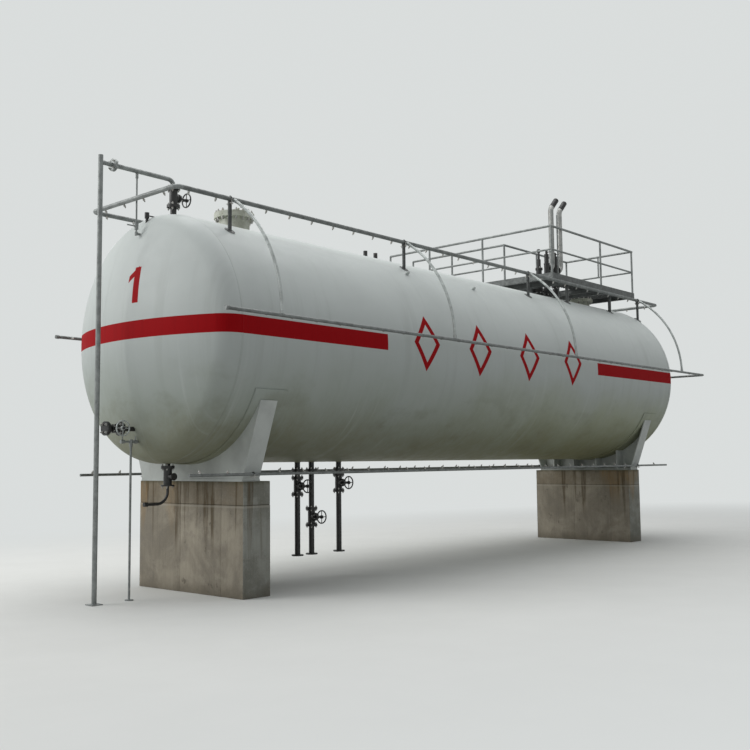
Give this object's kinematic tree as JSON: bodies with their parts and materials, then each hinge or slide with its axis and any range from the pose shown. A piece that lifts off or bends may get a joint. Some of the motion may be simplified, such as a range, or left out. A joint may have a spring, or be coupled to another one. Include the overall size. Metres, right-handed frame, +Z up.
{
  "type": "horizontal pressure tank",
  "caption": "Horizontal pressure tank with dished ends on two saddles and concrete piers, with spray pipes, a railed platform, relief stacks and valves.",
  "frame": {"origin": "on the ground under the middle of the whole plant's box", "axes": "+X along the tank from the numbered head to the far head, +Z up, the near side towards -Y"},
  "size_m": [12.9616, 4.8019, 6.6962],
  "materials": {
    "white_paint": "gloss off-white paint",
    "pale_paint": "pale grey-green paint",
    "concrete": "board-marked concrete",
    "grey_pipe": "weathered grey paint",
    "black_valve": "black paint",
    "galvanised": "weathered zinc",
    "silver_paint": "silver paint"
  },
  "bodies": {
    "plant": {"shell": "white_paint", "front_head": "white_paint", "rear_head": "white_paint", "wear_plates": "pale_paint", "front_saddle": "pale_paint", "rear_saddle": "pale_paint", "front_pier": "concrete", "rear_pier": "concrete", "front_manhole": "white_paint", "front_manhole_cover": "white_paint", "rear_manhole": "white_paint", "vent_valve": "black_valve", "vent_line": "grey_pipe", "riser": "grey_pipe", "gauge_line": "grey_pipe", "top_fittings": "black_valve", "header_near": "grey_pipe", "header_far": "grey_pipe", "header_front": "grey_pipe", "header_rear": "grey_pipe", "header_posts": "grey_pipe", "branches_near": "grey_pipe", "branches_far": "grey_pipe", "mid_pipe_near": "grey_pipe", "mid_pipe_far": "grey_pipe", "mid_pipe_rear": "grey_pipe", "low_pipe_near": "grey_pipe", "low_pipe_far": "grey_pipe", "platform_frame": "galvanised", "platform_legs": "galvanised", "platform_grating": "galvanised", "guardrail_near": "galvanised", "guardrail_far": "galvanised", "guardrail_front": "galvanised", "guardrail_rear": "galvanised", "catwalk_frame": "galvanised", "catwalk_grating": "galvanised", "catwalk_rail": "galvanised", "relief_stacks": "silver_paint", "deck_valves": "black_valve", "level_pipe": "grey_pipe", "head_valve": "black_valve", "drip_pipe": "grey_pipe", "drain_line": "black_valve", "bottom_lines": "black_valve"},
    "vent_wheel_body": {"vent_wheel": "black_valve"},
    "head_wheel_body": {"head_wheel": "black_valve"},
    "bottom_wheel_front_body": {"bottom_wheel_front": "black_valve"},
    "bottom_wheel_middle_body": {"bottom_wheel_middle": "black_valve"},
    "bottom_wheel_rear_body": {"bottom_wheel_rear": "black_valve"}
  },
  "joints": [
    {"name": "vent_wheel_turn", "type": "hinge", "parent": "plant", "child": "vent_wheel_body", "pos_m": [-5.17016, -0.649, 4.8895], "axis": [1, 0, 0], "continuous": true},
    {"name": "head_wheel_turn", "type": "hinge", "parent": "plant", "child": "head_wheel_body", "pos_m": [-6.19434, -0.849, 1.99], "axis": [0, -1, 0], "continuous": true},
    {"name": "bottom_wheel_front_turn", "type": "hinge", "parent": "plant", "child": "bottom_wheel_front_body", "pos_m": [-3.25016, -0.849, 1.25], "axis": [0, -1, 0], "continuous": true},
    {"name": "bottom_wheel_middle_turn", "type": "hinge", "parent": "plant", "child": "bottom_wheel_middle_body", "pos_m": [-2.98016, -0.849, 0.82], "axis": [0, -1, 0], "continuous": true},
    {"name": "bottom_wheel_rear_turn", "type": "hinge", "parent": "plant", "child": "bottom_wheel_rear_body", "pos_m": [-2.43016, -0.849, 1.28], "axis": [0, -1, 0], "continuous": true}
  ]
}
